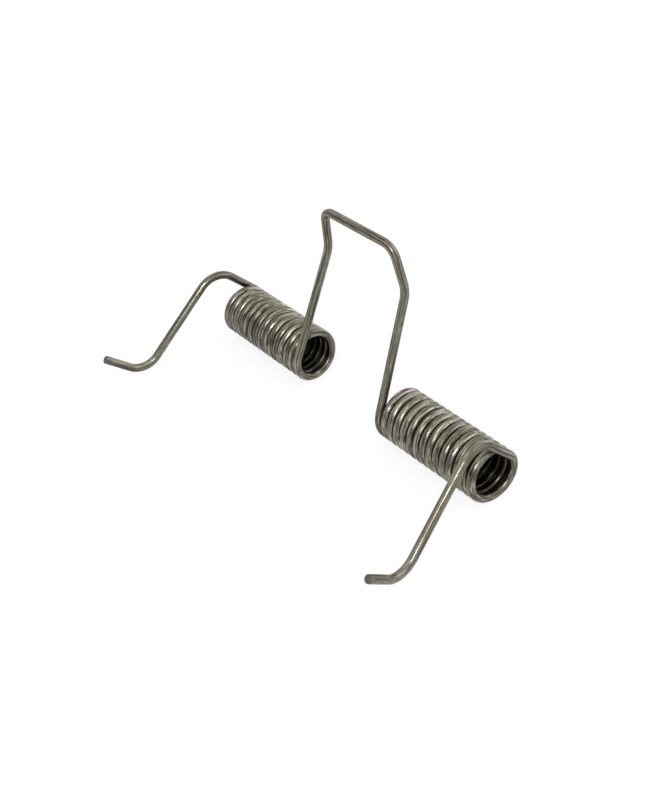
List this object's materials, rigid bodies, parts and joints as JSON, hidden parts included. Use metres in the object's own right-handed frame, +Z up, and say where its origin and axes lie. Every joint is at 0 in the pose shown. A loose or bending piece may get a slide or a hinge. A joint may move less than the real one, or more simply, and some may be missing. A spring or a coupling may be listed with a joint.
{
  "type": "double torsion spring",
  "caption": "Double torsion spring in round steel wire: close-wound coils on one axis joined by a tall leaning bridge, with cranked legs that end in turned-up feet.",
  "frame": {"origin": "on the surface that the spring rests on, under the middle of its bounding box, in the plane that the two halves share", "axes": "+X along the common axis of the coils, +Y from the feet towards the coils, +Z up, towards the bridge"},
  "size_m": [0.1038, 0.0452, 0.0464],
  "materials": {
    "spring_wire": "cold-drawn spring wire, lightly oiled, grey with fine lines along the wire and a dull sheen"
  },
  "bodies": {
    "root": {"double_torsion_spring": "spring_wire"}
  },
  "joints": []
}
